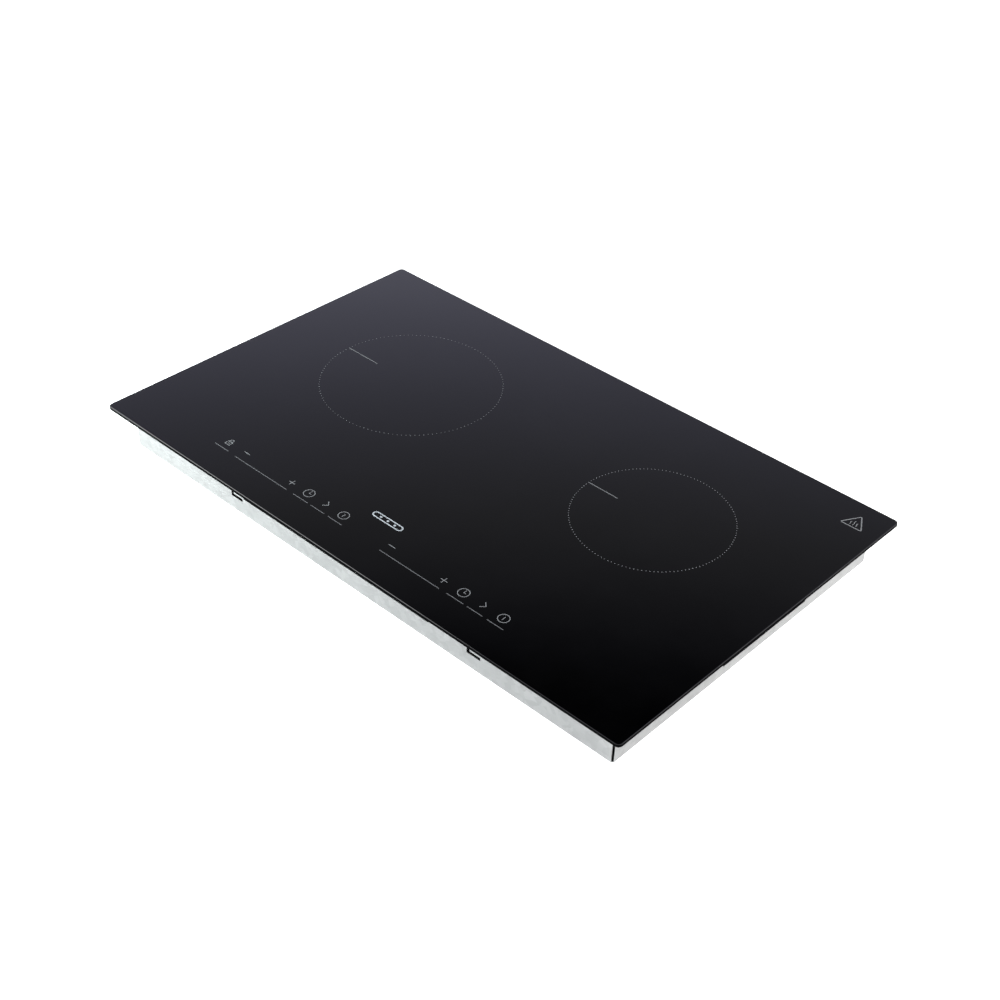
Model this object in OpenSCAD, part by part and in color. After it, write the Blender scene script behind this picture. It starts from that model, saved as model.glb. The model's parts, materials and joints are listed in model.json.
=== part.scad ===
// Two-zone induction cooktop for a worktop cut-out: a glass plate bonded on rails over a sheet-metal
// tray that holds two sprung coil modules, two generator boards, two fans and the touch electronics.
// Millimetres. X runs along the front edge, -Y is the cook's side, Z = 0 is the tray's underside.

/* [Glass] */
// Width of the glass plate
glass_w = 700; // [660:5:900]
// Depth of the glass plate
glass_d = 430; // [415:5:560]
// Thickness of the glass plate
glass_t = 4; // [3:0.5:8]
// Radius of the glass plate's corners
glass_corner_r = 5; // [3:1:20]
// Bevel round the top edge of the glass
glass_bevel = 0.6; // [0.3:0.1:1.5]
// Thickness of the adhesive between the rails and the glass
bond_t = 1; // [0.5:0.1:2]

/* [Cooking zones] */
// Diameter of the left zone's ring
left_zone_d = 200; // [160:5:220]
// Diameter of the right zone's ring
right_zone_d = 165; // [140:5:200]
// Centre of the left zone from the left edge of the glass
left_zone_from_side = 190.5; // [180:0.5:230]
// Centre of the right zone from the right edge of the glass
right_zone_from_side = 174; // [170:0.5:230]
// Centres of both zones from the rear edge of the glass
zones_from_back = 170; // [165:0.5:200]
// How far each winding stays inside its ring
winding_inset = 12; // [8:1:20]

/* [Tray] */
// How far the glass stands out past the tray's side walls
side_overhang = 19; // [16:1:40]
// How far the glass stands out past the tray's front wall
front_overhang = 20; // [16:1:40]
// How far the glass stands out past the tray's rear wall
back_overhang = 18; // [16:1:40]
// Height of the tray
tray_h = 46; // [45:1:80]
// Thickness of the tray's sheet
sheet_t = 0.8; // [0.6:0.1:1.2]
// Outer radius of the bends between the tray's floor and its walls
bend_r = 2.4; // [1.8:0.1:3]
// How far each wall stops short of the corner, which leaves an open relief slit there
corner_slit = 2.2; // [0.8:0.1:3]
// Distance of each spring tongue's slit from the middle of the front wall
tongue_x = 157; // [130:0.5:220]
// Length of the slit under a spring tongue
tongue_l = 17; // [12:1:30]
// Height of the slit under a spring tongue above the tray's underside
tongue_z = 17; // [12:0.5:20]
// Width of the slits round a spring tongue
tongue_slit = 3.5; // [1:0.1:4]

/* [Air windows] */
// Left end of the front air window
front_window_x0 = -155; // [-156:1:-60]
// Right end of the front air window
front_window_x1 = 108; // [60:1:150]
// Lower edge of the front air window
front_window_z = 21.5; // [18:0.5:26]
// Distance of the side air windows' front ends from the front wall
side_window_from_front = 155; // [60:1:200]
// Length of the side air windows
side_window_l = 130; // [60:1:200]
// Lower edge of the side air windows
side_window_z = 12.2; // [6:0.2:20]

/* [Rails and seal] */
// Height of a rail's upright leg
rail_leg = 14; // [10:1:20]
// Width of a rail's flange under the glass
rail_flange = 8; // [6:1:9]
// Thickness of a rail
rail_t = 1; // [0.8:0.1:1.5]
// Width of the seal under the rim
seal_w = 8; // [4:1:10]
// Thickness of the seal
seal_t = 2.5; // [1.5:0.5:4]
// How far the seal stays inside the edge of the glass
seal_inset = 3; // [1:0.5:5]

/* [Coils] */
// Radius of the empty middle of each winding
winding_inner_r = 24; // [20:1:30]
// Diameter of the stranded coil wire
wire_d = 4.4; // [3:0.1:5]
// Thickness of the insulating disc over each winding
disc_t = 3.2; // [2:0.2:5]
// Free length of the springs when the coil rests against its stop
spring_h = 5; // [4:0.5:8]
// Gap between a coil module and the glass
coil_gap = 0.3; // [0.3:0.1:1]
// Thickness of the coil carrier plates
plate_t = 1.5; // [1:0.1:3]

/* [Boards and fans] */
// Length of each generator board
board_w = 188; // [170:1:190]
// Depth of each generator board
board_d = 90; // [84:1:94]
// Thickness of every circuit board
pcb_t = 1.6; // [1:0.2:2.4]
// Height of the standoffs under the boards
standoff_h = 5.2; // [4:0.2:8]
// Height of the heatsinks
heatsink_h = 24; // [16:1:28]
// Side of each square fan frame
fan_w = 80; // [66:1:90]
// Height of each fan frame
fan_h = 20; // [18:1:25]
// Centre of each fan from the tray's side wall
fan_from_side = 61; // [56:1:64]
// Centre of each fan, and of its board, from the tray's front wall
fan_from_front = 92; // [90:1:94]
// Radius of the cord inlet's bore
cord_bore_r = 5; // [4:0.5:6]

/* [Hidden] */
$fn = 48;
e = 0.01;

LEFT = -1;
RIGHT = 1;

// Tray, worked out from the glass
tray_x = glass_w / 2 - side_overhang;
tray_front = -glass_d / 2 + front_overhang;
tray_back = glass_d / 2 - back_overhang;
tray_d = tray_back - tray_front;
tray_mid_y = (tray_front + tray_back) / 2;
inner_x = tray_x - sheet_t;
inner_front = tray_front + sheet_t;
inner_back = tray_back - sheet_t;
glass_z = tray_h + bond_t;
rail_z = tray_h - rail_leg;
window_top = rail_z - 1;

// Rails: the side rails stand between the ends of the long ones
rail_end_gap = 1;
side_rail_l = tray_d - 2 * (sheet_t + rail_flange + rail_end_gap);
long_rail_l = 2 * inner_x - 0.4;
rail_colour = [0.75, 0.76, 0.78];

// Rail screws, M4
m4_r = 2;
m4_thread_r = 2.02;
m4_clear_r = 2.2;
m4_head_r = 3.6;
m4_head_h = 2.4;
rail_screw_z = rail_z + rail_leg / 2 - 1;
rail_screw_l = 8;
side_screw_from_end = 70;
rear_screw_from_side = 90;
side_screw_y = [tray_front + side_screw_from_end, tray_back - side_screw_from_end];
rear_screw_x = [-tray_x + rear_screw_from_side, tray_x - rear_screw_from_side];

// Screws of the boards and plates, M3
m3_r = 1.5;
m3_head_r = 2.8;
m3_head_h = 1.8;
m3_clear_r = 1.7;
thread_r = 1.52;

// Bracket holes in the tray's floor, M4 clearance
bracket_hole_r = 2.2;
bracket_from_side = 16;
bracket_from_end = 16;
bracket_x = tray_x - bracket_from_side;
bracket_y = tray_d / 2 - bracket_from_end;

// Upright air slots in the rear wall, and the intake grilles under the fans
rear_slot_count = 12;
rear_slot_pitch = 24;
rear_slot_x = -20;
rear_slot_z = 18;
rear_slot_l = 18;
rear_slot_w = 4;
grille_slot_w = 3.8;
grille_pitch = 6.4;
grille_bar_w = 4;

// Coil modules, worked down from the glass
former_plate_t = 3;
former_rim_t = 2;
boss_h = 5;
boss_r = 5;
ferrite_h = 4;
ferrite_w = 8;
pin_r = 2;
pin_hole_r = 2.3;
spring_wire_r = 0.5;
spring_r = 3.6;
spring_turns = 3;
sensor_r = 9;
sensor_head_r = 6;
wire_layer = wire_d + 0.1;
coil_top = glass_z - coil_gap;
rim_top = coil_top - disc_t;
former_z = rim_top - wire_layer - former_plate_t;
boss_z = former_z - boss_h;
plate_z = boss_z - spring_h - plate_t;
pillar_r = 4;
pillar_in = 6;
plate_margin = 6;
lead_hole_r = 18;

function zone_from_side(side) = side == LEFT ? left_zone_from_side : right_zone_from_side;
function zone_x(side) = side * (glass_w / 2 - zone_from_side(side));
zone_y = glass_d / 2 - zones_from_back;
function winding_r(side) = (side == LEFT ? left_zone_d : right_zone_d) / 2 - winding_inset;
function former_r(side) = winding_r(side) + former_rim_t + 0.5;
function plate_half(side) = former_r(side) + plate_margin;
function pillar_off(side) = former_r(side) - pillar_in;
function pin_ring_r(side) = (winding_inner_r + winding_r(side)) / 2;
pin_angles = [30, 150, 270];
ferrite_angles = [0, 60, 120, 180, 240, 300];

// Boards and fans
board_z = sheet_t + standoff_h;
board_top = board_z + pcb_t;
fan_y = tray_front + fan_from_front;
fan_gap = 8;
function fan_x(side) = side * (tray_x - fan_from_side);
board_out_x = tray_x - fan_from_side - fan_w / 2 - fan_gap;
function board_x(side) = side * (board_out_x - board_w / 2);
board_hole_in = 5;
standoff_r = 3.2;
heatsink_l = 120;
heatsink_d = 30;
heatsink_y = -20;
heatsink_out = 12;
function heatsink_x(side) = side * (board_out_x - heatsink_out - heatsink_l / 2);
fin_count = 7;
fin_t = 1.4;
heatsink_base = 4;
fan_bore_r = fan_w / 2 - 2;
fan_hole_in = 4.25;
fan_hole_r = 2.2;
fan_hub_r = 15;
fan_boss_r = 14;
fan_strut_h = 3;
fan_shaft_r = 1.5;
fan_bearing_bore_r = 1.55;
fan_bearing_r = 4;
fan_tip_gap = 1;
blade_count = 7;
blade_pitch = 40;
blade_t = 1.2;
blade_chord = 15;

// Touch electronics under the control line
touch_w = 428;
touch_d = 34;
touch_gap = 2;
touch_x = -14;
touch_pad_h = 6;
carrier_t = 2;
touch_y = inner_front + rail_flange + touch_gap + touch_d / 2;
touch_z = glass_z - touch_pad_h - pcb_t;
carrier_z = touch_z - carrier_t;
post_r = 4;
post_x = [-200, -70, 70, 200];
touch_pad_r = 4.5;
display_w = 24;
display_d = 10;
display_back = 11.5;
group_shift = 212.3;
left_group_x = -181.4;
lock_key_x = -208.4;
key_x = [0, 17, 34, 51, 68.5, 95, 120.4, 145.3];
display_x = 38;

// Rear left corner: cord inlet, terminal block and filter board
inlet_from_side = 41;
inlet_x = -tray_x + inlet_from_side;
inlet_z = 13;
bush_flange_r = 9;
bush_neck_r = 7.5;
bush_flange_t = 2.5;
bush_l = 14;
terminal_w = 44;
terminal_d = 18;
terminal_h = 16;
terminal_y = inner_back - 35;
terminal_wire_r = 2.4;
terminal_well_r = 2.5;
terminal_wire_z = sheet_t + 6;
filter_w = 96;
filter_d = 40;
filter_x = inlet_x + terminal_w / 2 + 6 + filter_w / 2;
filter_y = inner_back - 6 - filter_d / 2;

// ---------- shapes that several pieces share ----------

// Flat plate w by d by h with round corners, standing on z = 0
module round_plate(w, d, h, r) {
    linear_extrude(height = h) round_outline(w, d, r);
}

module round_outline(w, d, r) {
    square([w - 2 * r, d], center = true);
    square([w, d - 2 * r], center = true);
    for (sx = [-1, 1], sy = [-1, 1])
        translate([sx * (w / 2 - r), sy * (d / 2 - r)]) circle(r = r);
}

// Frame outline: an outer rectangle from corner a to corner b, with a band t wide
module band(x, y0, y1, t) {
    difference() {
        translate([-x, y0]) square([2 * x, y1 - y0]);
        translate([-x + t, y0 + t]) square([2 * (x - t), y1 - y0 - 2 * t]);
    }
}

// Box centred on x and y and standing on z
module block(x, y, z, w, d, h) {
    translate([x - w / 2, y - d / 2, z]) cube([w, d, h]);
}

// Pan-head screw along Z: the head sits on z = 0, the shank reaches down
module screw(r, head_r, head_h, l) {
    cylinder(r = head_r, h = head_h);
    translate([0, 0, -l]) cylinder(r = r, h = l + e);
}

// A slot with round ends along X, cut right through a sheet of thickness t at z = 0
module slot(l, w, t) {
    translate([0, 0, -1]) linear_extrude(height = t + 2) {
        square([l - w, w], center = true);
        for (s = [-1, 1]) translate([s * (l - w) / 2, 0]) circle(r = w / 2);
    }
}

function unit(v) = v / norm(v);
function tangent(p, i) =
    unit(p[min(i + 1, len(p) - 1)] - p[max(i - 1, 0)]);
function ring(c, t, ref, r, sides) =
    let (u = unit(cross(t, ref)), v = cross(t, u))
    [for (k = [0 : sides - 1]) c + r * (cos(360 * k / sides) * u + sin(360 * k / sides) * v)];

// Round wire of radius r swept along the points p; ref is any direction that no stretch runs along
module wire(p, r, sides = 8, ref = [0.31, 0.17, 0.93]) {
    n = len(p);
    rings = [for (i = [0 : n - 1]) each ring(p[i], tangent(p, i), ref, r, sides)];
    walls = [for (i = [0 : n - 2], k = [0 : sides - 1])
        let (a = i * sides + k, b = i * sides + (k + 1) % sides) [a, a + sides, b + sides, b]];
    start = [for (k = [0 : sides - 1]) k];
    finish = [for (k = [sides - 1 : -1 : 0]) (n - 1) * sides + k];
    polyhedron(points = rings, faces = concat([start], walls, [finish]), convexity = 4);
}

// Points of a smooth route: between the middles of two stretches, a quadratic curve cuts the corner
function eased(p) = let (last = len(p) - 1) concat(
    [p[0]],
    [for (i = [1 : last - 1]) let (a = (p[i - 1] + p[i]) / 2, b = p[i], c = (p[i] + p[i + 1]) / 2)
        for (s = [0 : 0.25 : 0.75]) (1 - s) * (1 - s) * a + 2 * s * (1 - s) * b + s * s * c],
    [(p[last - 1] + p[last]) / 2, p[last]]);

// ---------- glass, adhesive, seal ----------

module glass_plate() {
    color([0.02, 0.02, 0.025]) translate([0, 0, glass_z]) hull() {
        round_plate(glass_w, glass_d, glass_t - glass_bevel, glass_corner_r, $fn = 32);
        round_plate(
            glass_w - 2 * glass_bevel, glass_d - 2 * glass_bevel, glass_t, glass_corner_r - glass_bevel, $fn = 32
        );
    }
}

module glass_adhesive() {
    color([0.12, 0.12, 0.12]) translate([0, 0, tray_h]) linear_extrude(height = bond_t)
        band(inner_x - 1, inner_front + 1, inner_back - 1, rail_flange - 2);
}

module worktop_seal() {
    color([0.2, 0.2, 0.21]) translate([0, 0, glass_z - seal_t]) linear_extrude(height = seal_t)
        band(glass_w / 2 - seal_inset, -glass_d / 2 + seal_inset, glass_d / 2 - seal_inset, seal_w);
}

// ---------- tray ----------

// Slits that free one spring tongue of the front wall: down from the wall's top, then along it
module tongue_slits(x) {
    translate([x, tray_front - 1, tongue_z]) cube([tongue_slit, sheet_t + 2, tray_h]);
    translate([x, tray_front - 1, tongue_z]) cube([tongue_l, sheet_t + 2, tongue_slit]);
}

// Intake grille of one fan: a round field of slots with a bar across its middle
module fan_grille(side) {
    translate([fan_x(side), fan_y, -1]) linear_extrude(height = sheet_t + 2) intersection() {
        circle(r = fan_bore_r - 3);
        for (i = [-5 : 5], s = [-1, 1])
            translate([i * grille_pitch - grille_slot_w / 2, s > 0 ? grille_bar_w / 2 : -fan_w / 2])
                square([grille_slot_w, (fan_w - grille_bar_w) / 2]);
    }
}

// Section of one wall with its bend: the wall's outer face is at x = 0 and the floor runs towards -X
module wall_section() {
    translate([-sheet_t, bend_r]) square([sheet_t, tray_h - bend_r]);
    translate([-bend_r, bend_r]) intersection() {
        difference() {
            circle(r = bend_r);
            circle(r = bend_r - sheet_t);
        }
        translate([0, -bend_r]) square([bend_r, bend_r]);
    }
    translate([-bend_r - 1, 0]) square([1 + e, sheet_t]);
}

// Folded wall between two corners l apart along Y, with its outer face at x = 0 towards +X:
// the bend stops short of both corners, and the upright part leaves the relief slits open
module folded_wall(l) {
    bend_l = l - 2 * max(bend_r, corner_slit);
    rotate([90, 0, 0]) translate([0, 0, -bend_l / 2]) linear_extrude(height = bend_l) wall_section();
    block(-sheet_t / 2, 0, bend_r, sheet_t, l - 2 * corner_slit, tray_h - bend_r);
}

module bottom_tray() {
    color([0.93, 0.94, 0.95]) difference() {
        union() {
            translate([-tray_x + bend_r, tray_front + bend_r, 0])
                cube([2 * (tray_x - bend_r), tray_d - 2 * bend_r, sheet_t]);
            for (side = [LEFT, RIGHT]) {
                translate([side * tray_x, tray_mid_y, 0]) mirror([side == LEFT ? 1 : 0, 0, 0])
                    folded_wall(tray_d);
                translate([0, side == LEFT ? tray_front : tray_back, 0]) rotate([0, 0, side * 90])
                    folded_wall(2 * tray_x);
            }
        }
        // front wall: spring tongues and the long air window
        tongue_slits(-tongue_x - tongue_l);
        tongue_slits(tongue_x);
        translate([front_window_x0, tray_front - 1, front_window_z])
            cube([front_window_x1 - front_window_x0, sheet_t + 2, window_top - front_window_z]);
        // side walls: air windows
        translate([-tray_x - 1, tray_front + side_window_from_front, side_window_z])
            cube([2 * tray_x + 2, side_window_l, window_top - side_window_z]);
        // rear wall: a row of upright air slots right of the cord inlet, and the inlet itself
        for (i = [0 : rear_slot_count - 1])
            translate([rear_slot_x + i * rear_slot_pitch, inner_back + sheet_t / 2, rear_slot_z])
                rotate([90, 90, 0]) translate([0, 0, -sheet_t / 2]) slot(rear_slot_l, rear_slot_w, sheet_t);
        translate([inlet_x, tray_back + 1, inlet_z]) rotate([90, 0, 0])
            cylinder(r = bush_neck_r, h = sheet_t + 2);
        // rail screws
        for (y = side_screw_y) translate([-tray_x - 1, y, rail_screw_z]) rotate([0, 90, 0])
            cylinder(r = m4_clear_r, h = 2 * tray_x + 2);
        for (x = rear_screw_x) translate([x, tray_back + 1, rail_screw_z]) rotate([90, 0, 0])
            cylinder(r = m4_clear_r, h = sheet_t + 2);
        // floor: fan grilles, fan screws and bracket holes
        for (side = [LEFT, RIGHT]) {
            fan_grille(side);
            for (p = fan_holes(side)) translate([p[0], p[1], -1]) cylinder(r = m4_r, h = sheet_t + 2);
            for (sy = [-1, 1]) translate([side * bracket_x, tray_mid_y + sy * bracket_y, -1])
                cylinder(r = bracket_hole_r, h = sheet_t + 2);
        }
    }
}

// ---------- rails under the glass ----------

// L-shaped rail of length l along X: flange on top towards +Y, upright leg at y = 0
module rail(l) {
    translate([-l / 2, 0, rail_z]) cube([l, rail_t, rail_leg]);
    translate([-l / 2, 0, tray_h - rail_t]) cube([l, rail_flange, rail_t]);
}

module rail_front() {
    // Cut away behind each spring tongue, so that the tongue can give
    color(rail_colour) difference() {
        translate([0, inner_front, 0]) rail(long_rail_l);
        for (x = [-tongue_x - tongue_l, tongue_x])
            translate([x, inner_front - 1, rail_z - 1]) cube([tongue_l, rail_t + 1, rail_leg - rail_t + 1]);
    }
}

module rail_rear() {
    color(rail_colour) difference() {
        translate([0, inner_back, 0]) rotate([0, 0, 180]) rail(long_rail_l);
        for (x = rear_screw_x) translate([x, inner_back + 1, rail_screw_z]) rotate([90, 0, 0])
            cylinder(r = m4_thread_r, h = rail_t + 2);
    }
}

module side_rail(side) {
    color(rail_colour) difference() {
        translate([side * inner_x, tray_mid_y, 0]) rotate([0, 0, side * 90]) rail(side_rail_l);
        for (y = side_screw_y) translate([side * inner_x - 2, y, rail_screw_z]) rotate([0, 90, 0])
            cylinder(r = m4_thread_r, h = 4);
    }
}

module rail_screws() {
    color([0.7, 0.7, 0.72]) {
        for (side = [LEFT, RIGHT], y = side_screw_y)
            translate([side * tray_x, y, rail_screw_z]) rotate([0, side * 90, 0])
                screw(m4_r, m4_head_r, m4_head_h, rail_screw_l);
        for (x = rear_screw_x) translate([x, tray_back, rail_screw_z]) rotate([-90, 0, 0])
            screw(m4_r, m4_head_r, m4_head_h, rail_screw_l);
    }
}

// ---------- touch electronics ----------

module touch_board() {
    color([0.05, 0.3, 0.15]) difference() {
        block(touch_x, touch_y, touch_z, touch_w, touch_d, pcb_t);
        for (s = [-1, 1], t = [-1, 1])
            translate([touch_x + s * (touch_w / 2 - 5), touch_y + t * (touch_d / 2 - 5), touch_z - 1])
                cylinder(r = m3_clear_r, h = pcb_t + 2);
    }
}

module touch_carrier() {
    color([0.85, 0.85, 0.83]) {
        block(touch_x, touch_y, carrier_z, touch_w, touch_d, carrier_t);
        for (x = post_x) translate([touch_x + x, touch_y, sheet_t])
            cylinder(r = post_r, h = carrier_z - sheet_t + e);
    }
}

// Sprung contact pads between the board and the underside of the glass
module touch_pads() {
    all_x = concat([lock_key_x], [for (g = [0, 1], x = key_x) left_group_x + g * group_shift + x]);
    color([0.75, 0.72, 0.6]) for (x = all_x) translate([x, touch_y, touch_z + pcb_t])
        cylinder(r = touch_pad_r, h = touch_pad_h);
}

module display(x) {
    color([0.15, 0.15, 0.16])
        block(x, touch_y + display_back, touch_z + pcb_t, display_w, display_d, touch_pad_h - 0.2);
}

module display_left() {
    display(left_group_x + display_x);
}

module display_right() {
    display(left_group_x + group_shift + display_x);
}

// Flat cable from the touch board's rear edge straight down to its plug on the left board
module ribbon_cable() {
    w = 16;
    t = 0.8;
    plug_h = 6;
    x = board_x(LEFT) + board_w / 2 - 20;
    edge_y = touch_y + touch_d / 2;
    plug_y = fan_y - board_d / 2 + 5;
    color([0.8, 0.8, 0.82]) {
        translate([x - w / 2, edge_y, touch_z]) cube([w, plug_y - edge_y + t / 2, t]);
        block(x, plug_y, board_top + plug_h - e, w, t, touch_z + t - board_top - plug_h + e);
        block(x, plug_y, board_top, w + 2, 5, plug_h);
    }
}

// ---------- coil modules ----------

module at_zone(side) {
    translate([zone_x(side), zone_y, 0]) children();
}

// Dished plastic former with a hub, a rim and three sprung bosses
module coil_former(side) {
    r = former_r(side);
    color([0.9, 0.88, 0.82]) at_zone(side) difference() {
        union() {
            translate([0, 0, former_z]) cylinder(r = r, h = former_plate_t);
            translate([0, 0, former_z]) difference() {
                cylinder(r = r, h = rim_top - former_z);
                translate([0, 0, -1]) cylinder(r = r - former_rim_t, h = rim_top - former_z + 2);
            }
            translate([0, 0, former_z]) cylinder(r = winding_inner_r - 1, h = rim_top - former_z);
            for (a = pin_angles) rotate([0, 0, a]) translate([pin_ring_r(side), 0, boss_z])
                cylinder(r = boss_r, h = boss_h + e);
        }
        translate([0, 0, former_z - 1]) cylinder(r = sensor_r, h = rim_top - former_z + 2);
        for (a = pin_angles) rotate([0, 0, a]) translate([pin_ring_r(side), 0, boss_z - 1])
            cylinder(r = pin_hole_r, h = boss_h + former_plate_t + 0.5);
    }
}

// Turns of stranded wire, side by side from the hub to the rim
module coil_winding(side) {
    pitch = wire_d - 0.2;
    turns = floor((winding_r(side) - winding_inner_r - wire_d) / pitch);
    color([0.72, 0.4, 0.2]) at_zone(side) translate([0, 0, former_z + former_plate_t + wire_d / 2])
        rotate_extrude($fn = 96) for (i = [0 : turns])
            translate([winding_inner_r + wire_d / 2 + i * pitch, 0]) circle(r = wire_d / 2, $fn = 24);
}

module coil_ferrites(side) {
    start = winding_inner_r - 4;
    color([0.16, 0.16, 0.17]) at_zone(side) for (a = ferrite_angles) rotate([0, 0, a])
        translate([start, -ferrite_w / 2, former_z - ferrite_h])
            cube([winding_r(side) - start, ferrite_w, ferrite_h]);
}

module coil_disc(side) {
    color([0.82, 0.8, 0.72]) at_zone(side) translate([0, 0, rim_top]) difference() {
        cylinder(r = former_r(side), h = disc_t);
        translate([0, 0, -1]) cylinder(r = sensor_r, h = disc_t + 2);
    }
}

// Temperature sensor: a cup in the former's hub with a soft head up to the disc's level
module coil_sensor(side) {
    color([0.7, 0.15, 0.1]) at_zone(side) {
        translate([0, 0, former_z]) cylinder(r = sensor_r, h = rim_top - former_z);
        translate([0, 0, rim_top - e]) cylinder(r = sensor_head_r, h = coil_top - rim_top + e);
    }
}

module coil_springs(side) {
    steps = 12 * spring_turns;
    low = plate_z + plate_t + spring_wire_r;
    rise = spring_h - 2 * spring_wire_r;
    color([0.7, 0.72, 0.75]) at_zone(side) for (a = pin_angles) rotate([0, 0, a])
        translate([pin_ring_r(side), 0, low])
            wire([for (i = [0 : steps]) let (b = 360 * spring_turns * i / steps)
                [spring_r * cos(b), spring_r * sin(b), rise * i / steps]], spring_wire_r, 6, [0, 0, 1]);
}

// Guide pins riveted in the plate; the former's bosses slide on them
module coil_pins(side) {
    color([0.7, 0.7, 0.72]) at_zone(side) for (a = pin_angles) rotate([0, 0, a])
        translate([pin_ring_r(side), 0, plate_z])
            cylinder(r = pin_r, h = plate_t + spring_h + boss_h - 1);
}

module coil_plate(side) {
    half = plate_half(side);
    off = pillar_off(side);
    color([0.8, 0.81, 0.82]) at_zone(side) translate([0, 0, plate_z]) difference() {
        round_plate(2 * half, 2 * half, plate_t, 6);
        translate([0, 0, -1]) cylinder(r = lead_hole_r, h = plate_t + 2);
        for (a = pin_angles) rotate([0, 0, a]) translate([pin_ring_r(side), 0, -1])
            cylinder(r = pin_r, h = plate_t + 2);
        for (sx = [-1, 1], sy = [-1, 1]) translate([sx * off, sy * off, -1])
            cylinder(r = m3_clear_r, h = plate_t + 2);
    }
}

// Two leads that drop from the former through the plate's hole and run forward to the board
module coil_leads(side) {
    lead_r = 1.8;
    board_edge = fan_y + board_d / 2 - 6;
    color([0.85, 0.83, 0.75]) for (s = [-1, 1]) {
        x = zone_x(side) + s * 6;
        wire(eased([
            [x, zone_y - 10.5, former_z],
            [x, zone_y - 10.5, plate_z - 4],
            [x, zone_y - 22, board_top + 8],
            [x, board_edge + 12, board_top + 8],
            [x, board_edge, board_top + 8],
            [x, board_edge, board_top]
        ]), lead_r);
    }
}

module plate_pillars() {
    color([0.75, 0.76, 0.78]) for (side = [LEFT, RIGHT], sx = [-1, 1], sy = [-1, 1]) at_zone(side)
        translate([sx * pillar_off(side), sy * pillar_off(side), sheet_t]) difference() {
            cylinder(r = pillar_r, h = plate_z - sheet_t);
            translate([0, 0, plate_z - sheet_t - 10]) cylinder(r = thread_r, h = 11);
        }
}

module plate_screws() {
    color([0.7, 0.7, 0.72]) for (side = [LEFT, RIGHT], sx = [-1, 1], sy = [-1, 1]) at_zone(side)
        translate([sx * pillar_off(side), sy * pillar_off(side), plate_z + plate_t])
            screw(m3_r, m3_head_r, m3_head_h, 8);
}

// ---------- generator boards ----------

function board_holes(side) = [for (sx = [-1, 1], sy = [-1, 1])
    [board_x(side) + sx * (board_w / 2 - board_hole_in), fan_y + sy * (board_d / 2 - board_hole_in)]];
filter_holes = [for (sx = [-1, 1], sy = [-1, 1])
    [filter_x + sx * (filter_w / 2 - board_hole_in), filter_y + sy * (filter_d / 2 - board_hole_in)]];
all_board_holes = concat(board_holes(LEFT), board_holes(RIGHT), filter_holes);

module power_board(side) {
    color([0.1, 0.35, 0.18]) difference() {
        block(board_x(side), fan_y, board_z, board_w, board_d, pcb_t);
        for (p = board_holes(side)) translate([p[0], p[1], board_z - 1])
            cylinder(r = m3_clear_r, h = pcb_t + 2);
    }
}

// Finned extrusion along the air stream, with its base at the rear where the transistors sit
module heatsink(side) {
    color([0.78, 0.79, 0.8]) translate([heatsink_x(side), fan_y + heatsink_y, board_top]) {
        block(0, heatsink_d / 2 - heatsink_base / 2, 0, heatsink_l, heatsink_base, heatsink_h);
        for (i = [0 : fin_count - 1])
            block(0, -heatsink_base / 2, i * (heatsink_h - fin_t) / (fin_count - 1),
                heatsink_l, heatsink_d - heatsink_base, fin_t);
    }
}

module power_transistors(side) {
    body_t = 5;
    body_h = 18;
    leg_h = 3;
    spacing = 34;
    leg_pitch = 5;
    y = fan_y + heatsink_y + heatsink_d / 2 + body_t / 2;
    color([0.08, 0.08, 0.08]) for (i = [0 : 2]) {
        x = heatsink_x(side) + (i - 1) * spacing;
        block(x, y, board_top + leg_h, i == 1 ? 24 : 16, body_t, body_h);
        for (k = [-1, 0, 1]) block(x + k * leg_pitch, y, board_top, 1.2, 1, leg_h + e);
    }
}

// Two film capacitors in boxes and an upright round one in a row along the board's rear edge
module board_capacitors(side) {
    box_w = 32;
    box_d = 16;
    box_h = 22;
    can_r = 9;
    can_h = 25;
    color([0.75, 0.2, 0.15]) {
        for (x = [-2, 38]) block(board_x(side) + side * x, fan_y + 26, board_top, box_w, box_d, box_h);
        translate([board_x(side) + side * 72, fan_y + 24, board_top]) cylinder(r = can_r, h = can_h);
    }
}

module board_choke(side) {
    ring_r = 13;
    wound_r = 7.5;
    color([0.8, 0.5, 0.2]) translate([board_x(side) - side * 66, fan_y + 2, board_top + wound_r])
        rotate_extrude() translate([ring_r, 0]) circle(r = wound_r, $fn = 32);
}

module board_standoffs() {
    color([0.9, 0.9, 0.88]) for (p = all_board_holes) translate([p[0], p[1], sheet_t]) difference() {
        cylinder(r = standoff_r, h = standoff_h);
        translate([0, 0, 0.5]) cylinder(r = thread_r, h = standoff_h);
    }
}

module board_screws() {
    color([0.7, 0.7, 0.72]) for (p = all_board_holes) translate([p[0], p[1], board_top])
        screw(m3_r, m3_head_r, m3_head_h, pcb_t + standoff_h - 1);
}

module insulation_sheets() {
    color([0.9, 0.9, 0.85]) for (side = [LEFT, RIGHT]) difference() {
        block(board_x(side), fan_y, sheet_t, board_w, board_d, 0.4);
        for (p = board_holes(side)) translate([p[0], p[1], 0]) cylinder(r = standoff_r + 0.3, h = 5);
    }
}

module filter_board() {
    color([0.1, 0.35, 0.18]) difference() {
        block(filter_x, filter_y, board_z, filter_w, filter_d, pcb_t);
        for (p = filter_holes) translate([p[0], p[1], board_z - 1]) cylinder(r = m3_clear_r, h = pcb_t + 2);
    }
}

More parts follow.
